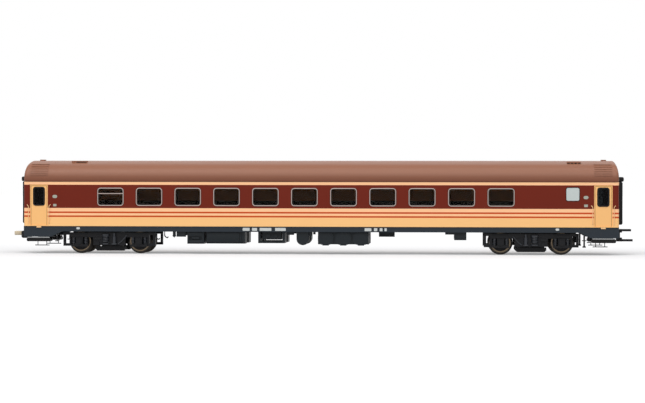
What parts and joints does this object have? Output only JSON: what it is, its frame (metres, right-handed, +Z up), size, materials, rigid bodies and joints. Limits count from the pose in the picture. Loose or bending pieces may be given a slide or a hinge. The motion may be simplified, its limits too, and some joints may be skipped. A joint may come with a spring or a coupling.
{
  "type": "model railway passenger coach",
  "caption": "Scale model railway passenger coach with window band, end doors, gangways, underfloor boxes, swivelling bogies with free-turning wheelsets, and swinging couplers.",
  "frame": {"origin": "under the middle of the coach, on its centre line, at the lowest point of the wheel flanges", "axes": "+X along the coach towards the end with the fork-shaped coupler, +Y across it, +Z up"},
  "size_m": [0.3165, 0.034, 0.0479],
  "materials": {
    "livery": "satin",
    "roof_paint": "satin",
    "frame_metal": "satin",
    "window_glass": "polished",
    "door_glass": "polished",
    "frosted_glass": "frosted",
    "seal_rubber": "matte",
    "interior_plastic": "matte",
    "chassis_plastic": "satin",
    "step_plastic": "satin",
    "step_wire": "satin",
    "rail_wire": "satin",
    "bellows_rubber": "matte",
    "end_door_paint": "satin",
    "gear_plastic": "satin",
    "valve_plastic": "satin",
    "hose_plastic": "matte",
    "coupler_plastic": "satin",
    "bogie_plastic": "satin",
    "spring_plastic": "satin",
    "wheel_metal": "blackened"
  },
  "bodies": {
    "coach": {"body_shell": "livery", "roof": "roof_paint", "roof_louvres": "roof_paint", "roof_ventilators": "roof_paint", "window_frames": "frame_metal", "window_panes": "window_glass", "door_seals": "seal_rubber", "door_panes": "door_glass", "lavatory_panes": "frosted_glass", "interior": "interior_plastic", "underframe": "chassis_plastic", "step_boards": "step_plastic", "wire_steps": "step_wire", "grab_rails": "rail_wire", "gangway_a": "bellows_rubber", "gangway_b": "bellows_rubber", "end_doors": "end_door_paint", "battery_box": "gear_plastic", "converter_box": "gear_plastic", "equipment_frame": "gear_plastic", "tank_pod": "gear_plastic", "air_tanks": "gear_plastic", "relay_box": "gear_plastic", "brake_valves": "valve_plastic", "end_pipes": "hose_plastic"},
    "bogie_a": {"bogie_frame_a": "bogie_plastic", "axle_springs_a": "spring_plastic", "bolster_springs_a": "spring_plastic", "track_brakes_a": "bogie_plastic", "dampers_a": "bogie_plastic"},
    "bogie_b": {"bogie_frame_b": "bogie_plastic", "axle_springs_b": "spring_plastic", "bolster_springs_b": "spring_plastic", "track_brakes_b": "bogie_plastic", "dampers_b": "bogie_plastic"},
    "coupler_a": {"coupler_shank_a": "coupler_plastic", "coupler_head_a": "coupler_plastic"},
    "coupler_b": {"coupler_shank_b": "coupler_plastic", "coupler_head_b": "coupler_plastic"},
    "wheelset_1": {"wheelset_1": "wheel_metal"},
    "wheelset_2": {"wheelset_2": "wheel_metal"},
    "wheelset_3": {"wheelset_3": "wheel_metal"},
    "wheelset_4": {"wheelset_4": "wheel_metal"}
  },
  "joints": [
    {"name": "bogie_a_swivel", "type": "hinge", "parent": "coach", "child": "bogie_a", "pos_m": [-0.1066, 0, 0.0108], "axis": [0, 0, 1], "range_deg": [-12, 12]},
    {"name": "coupler_a_swing", "type": "hinge", "parent": "coach", "child": "coupler_a", "pos_m": [-0.138, 0, 0.0102], "axis": [0, 0, 1], "range_deg": [-10, 10]},
    {"name": "bogie_b_swivel", "type": "hinge", "parent": "coach", "child": "bogie_b", "pos_m": [0.1066, 0, 0.0108], "axis": [0, 0, 1], "range_deg": [-12, 12]},
    {"name": "coupler_b_swing", "type": "hinge", "parent": "coach", "child": "coupler_b", "pos_m": [0.138, 0, 0.0102], "axis": [0, 0, 1], "range_deg": [-10, 10]},
    {"name": "wheelset_1_spin", "type": "hinge", "parent": "bogie_a", "child": "wheelset_1", "pos_m": [-0.1218, 0, 0.0062], "axis": [0, 1, 0], "continuous": true},
    {"name": "wheelset_2_spin", "type": "hinge", "parent": "bogie_a", "child": "wheelset_2", "pos_m": [-0.0914, 0, 0.0062], "axis": [0, 1, 0], "continuous": true},
    {"name": "wheelset_3_spin", "type": "hinge", "parent": "bogie_b", "child": "wheelset_3", "pos_m": [0.0914, 0, 0.0062], "axis": [0, 1, 0], "continuous": true},
    {"name": "wheelset_4_spin", "type": "hinge", "parent": "bogie_b", "child": "wheelset_4", "pos_m": [0.1218, 0, 0.0062], "axis": [0, 1, 0], "continuous": true}
  ]
}
